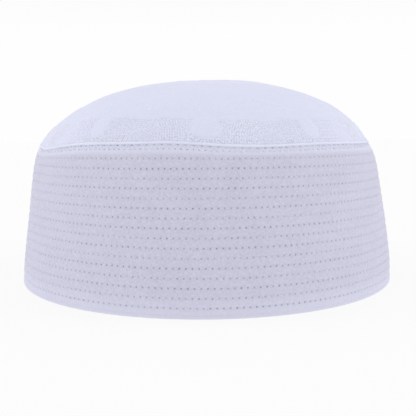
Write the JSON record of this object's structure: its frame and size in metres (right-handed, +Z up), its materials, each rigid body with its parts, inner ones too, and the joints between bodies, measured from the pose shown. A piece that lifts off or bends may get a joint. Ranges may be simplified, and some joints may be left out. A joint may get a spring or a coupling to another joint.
{
  "type": "kufi cap",
  "caption": "Brimless white cotton cap: a tall oval band quilted in level rows, a rolled seam welt and a low domed, embroidered crown, open below for the head.",
  "frame": {"origin": "centre of the rim, on the surface that the cap stands on", "axes": "+Z up, -Y the front of the cap, +X the wearer's left"},
  "size_m": [0.18, 0.198, 0.0952],
  "materials": {
    "quilted_cotton": "matte woven cotton, padded and stitched in level rows",
    "cotton_welt": "matte woven cotton, rolled and overcast",
    "embroidered_cotton": "matte woven cotton, embroidered white on white"
  },
  "bodies": {
    "root": {"band": "quilted_cotton", "seam_welt": "cotton_welt", "crown": "embroidered_cotton"}
  },
  "joints": []
}
